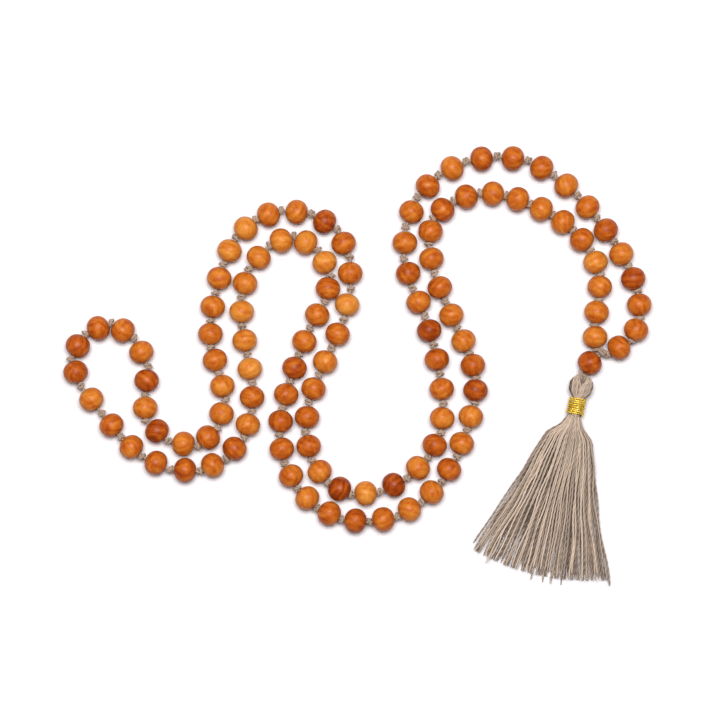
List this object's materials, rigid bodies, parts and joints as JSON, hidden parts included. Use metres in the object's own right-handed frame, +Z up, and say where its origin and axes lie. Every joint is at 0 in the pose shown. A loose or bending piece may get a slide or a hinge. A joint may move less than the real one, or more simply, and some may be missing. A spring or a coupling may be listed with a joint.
{
  "type": "mala prayer beads",
  "caption": "Looped strand of knotted round wooden prayer beads with a guru bead and a cotton tassel bound in gold thread, laid flat in curves.",
  "frame": {"origin": "middle of the laid strand's footprint, on the table it lies on", "axes": "+Z up from the table, +X along the longest side of the laid strand towards the guru bead, +Y away from the tassel"},
  "size_m": [0.194, 0.143, 0.008],
  "materials": {
    "bead_wood": "satin, lightly waxed turned wood with fine brown grain",
    "cord_cotton": "matt twisted cotton cord, taupe",
    "tassel_yarn": "matt two-ply cotton yarn, taupe",
    "tie_thread": "matt cotton thread, hidden",
    "gold_thread": "shiny metallic gold thread"
  },
  "bodies": {
    "section_00": {"beads_00": "bead_wood", "cord_00": "cord_cotton"},
    "turning_bead_00": {"turning_bead_00": "bead_wood"},
    "section_01": {"beads_01": "bead_wood", "cord_01": "cord_cotton"},
    "turning_bead_01": {"turning_bead_01": "bead_wood"},
    "section_02": {"beads_02": "bead_wood", "cord_02": "cord_cotton"},
    "turning_bead_02": {"turning_bead_02": "bead_wood"},
    "section_03": {"beads_03": "bead_wood", "cord_03": "cord_cotton"},
    "turning_bead_03": {"turning_bead_03": "bead_wood"},
    "section_04": {"beads_04": "bead_wood", "cord_04": "cord_cotton"},
    "turning_bead_04": {"turning_bead_04": "bead_wood"},
    "section_05": {"beads_05": "bead_wood", "cord_05": "cord_cotton"},
    "turning_bead_05": {"turning_bead_05": "bead_wood"},
    "section_06": {"beads_06": "bead_wood", "cord_06": "cord_cotton"},
    "turning_bead_06": {"turning_bead_06": "bead_wood"},
    "section_07": {"beads_07": "bead_wood", "cord_07": "cord_cotton"},
    "turning_bead_07": {"turning_bead_07": "bead_wood"},
    "section_08": {"beads_08": "bead_wood", "cord_08": "cord_cotton"},
    "turning_bead_08": {"turning_bead_08": "bead_wood"},
    "section_09": {"beads_09": "bead_wood", "cord_09": "cord_cotton"},
    "turning_bead_09": {"turning_bead_09": "bead_wood"},
    "section_10": {"beads_10": "bead_wood", "cord_10": "cord_cotton"},
    "turning_bead_10": {"turning_bead_10": "bead_wood"},
    "section_11": {"beads_11": "bead_wood", "cord_11": "cord_cotton"},
    "turning_bead_11": {"turning_bead_11": "bead_wood"},
    "guru_cord": {"guru_cord": "cord_cotton"},
    "guru_bead": {"guru_bead": "bead_wood"},
    "tassel_loop": {"tassel_loop": "cord_cotton"},
    "tassel": {"tassel_head": "tassel_yarn", "neck_tie": "tie_thread", "gold_binding": "gold_thread", "tassel_skirt": "tassel_yarn"}
  },
  "joints": [
    {"name": "fold_01", "type": "hinge", "parent": "section_01", "child": "section_00", "pos_m": [0.08066, 0.03859, 0.004], "axis": [-0.9456, -0.3253, 0], "range_deg": [0, 35]},
    {"name": "fold_02", "type": "hinge", "parent": "section_02", "child": "section_01", "pos_m": [0.03794, 0.06141, 0.004], "axis": [-0.4092, 0.9124, 0], "range_deg": [0, 35]},
    {"name": "fold_03", "type": "hinge", "parent": "section_03", "child": "section_02", "pos_m": [0.02162, 0.02719, 0.004], "axis": [0.8298, 0.558, 0], "range_deg": [0, 35]},
    {"name": "fold_04", "type": "hinge", "parent": "section_04", "child": "section_03", "pos_m": [0.03338, -0.01337, 0.004], "axis": [0.9997, 0.0244, 0], "range_deg": [0, 35]},
    {"name": "fold_05", "type": "hinge", "parent": "section_05", "child": "section_04", "pos_m": [0.01009, -0.04656, 0.004], "axis": [0.5735, -0.8192, 0], "range_deg": [0, 35]},
    {"name": "fold_06", "type": "hinge", "parent": "section_05", "child": "section_06", "pos_m": [-0.02166, -0.02322, 0.004], "axis": [0.9944, 0.1058, 0], "range_deg": [0, 35]},
    {"name": "fold_07", "type": "hinge", "parent": "section_06", "child": "section_07", "pos_m": [-0.00788, 0.01725, 0.004], "axis": [-0.7214, 0.6925, 0], "range_deg": [0, 35]},
    {"name": "fold_08", "type": "hinge", "parent": "section_07", "child": "section_08", "pos_m": [-0.03163, 0.04312, 0.004], "axis": [-0.4369, 0.8995, 0], "range_deg": [0, 35]},
    {"name": "fold_09", "type": "hinge", "parent": "section_08", "child": "section_09", "pos_m": [-0.04256, 0.00397, 0.004], "axis": [-0.9804, 0.1971, 0], "range_deg": [0, 35]},
    {"name": "fold_10", "type": "hinge", "parent": "section_09", "child": "section_10", "pos_m": [-0.06225, -0.03037, 0.004], "axis": [-0.054, 0.9985, 0], "range_deg": [0, 35]},
    {"name": "fold_11", "type": "hinge", "parent": "section_10", "child": "section_11", "pos_m": [-0.08263, 0.00038, 0.004], "axis": [0.748, 0.6637, 0], "range_deg": [0, 35]},
    {"name": "turn_bead_00", "type": "hinge", "parent": "section_00", "child": "turning_bead_00", "pos_m": [0.09081, 0.02784, 0.004], "axis": [0.3519, -0.936, 0], "continuous": true},
    {"name": "turn_bead_01", "type": "hinge", "parent": "section_01", "child": "turning_bead_01", "pos_m": [0.06062, 0.06441, 0.004], "axis": [0.8762, -0.4819, 0], "continuous": true},
    {"name": "turn_bead_02", "type": "hinge", "parent": "section_02", "child": "turning_bead_02", "pos_m": [0.01766, 0.04988, 0.004], "axis": [0.3642, 0.9313, 0], "continuous": true},
    {"name": "turn_bead_03", "type": "hinge", "parent": "section_03", "child": "turning_bead_03", "pos_m": [0.03081, 0.01581, 0.004], "axis": [0.4215, -0.9068, 0], "continuous": true},
    {"name": "turn_bead_04", "type": "hinge", "parent": "section_04", "child": "turning_bead_04", "pos_m": [0.03006, -0.03513, 0.004], "axis": [-0.5087, -0.8609, 0], "continuous": true},
    {"name": "turn_bead_05", "type": "hinge", "parent": "section_05", "child": "turning_bead_05", "pos_m": [-0.00084, -0.05203, 0.004], "axis": [-0.9948, 0.1015, 0], "continuous": true},
    {"name": "turn_bead_06", "type": "hinge", "parent": "section_06", "child": "turning_bead_06", "pos_m": [-0.01466, -0.00847, 0.004], "axis": [-0.3475, -0.9377, 0], "continuous": true},
    {"name": "turn_bead_07", "type": "hinge", "parent": "section_07", "child": "turning_bead_07", "pos_m": [-0.011, 0.04666, 0.004], "axis": [0.8536, -0.5209, 0], "continuous": true},
    {"name": "turn_bead_08", "type": "hinge", "parent": "section_08", "child": "turning_bead_08", "pos_m": [-0.04578, 0.02797, 0.004], "axis": [0.2588, 0.9659, 0], "continuous": true},
    {"name": "turn_bead_09", "type": "hinge", "parent": "section_09", "child": "turning_bead_09", "pos_m": [-0.03494, -0.01128, 0.004], "axis": [-0.0132, -0.9999, 0], "continuous": true},
    {"name": "turn_bead_10", "type": "hinge", "parent": "section_10", "child": "turning_bead_10", "pos_m": [-0.06975, -0.00578, 0.004], "axis": [-0.1054, -0.9944, 0], "continuous": true},
    {"name": "turn_bead_11", "type": "hinge", "parent": "section_11", "child": "turning_bead_11", "pos_m": [-0.09244, 0.00566, 0.004], "axis": [0.5116, 0.8592, 0], "continuous": true},
    {"name": "guru_fold", "type": "hinge", "parent": "section_00", "child": "guru_cord", "pos_m": [0.0803, 0.0036, 0.004], "axis": [-0.6877, 0.726, 0], "range_deg": [0, 35]},
    {"name": "guru_turn", "type": "hinge", "parent": "guru_cord", "child": "guru_bead", "pos_m": [0.0765, 0, 0.004], "axis": [-0.726, -0.6877, 0], "continuous": true},
    {"name": "tassel_swing", "type": "hinge", "parent": "guru_cord", "child": "tassel_loop", "pos_m": [0.07305, -0.00327, 0.004], "axis": [0, 0, 1], "range_deg": [-12, 8]},
    {"name": "tassel_lift", "type": "hinge", "parent": "tassel_loop", "child": "tassel", "pos_m": [0.0735, -0.008, 0.004], "axis": [-0.9744, 0.225, 0], "range_deg": [0, 60]}
  ]
}
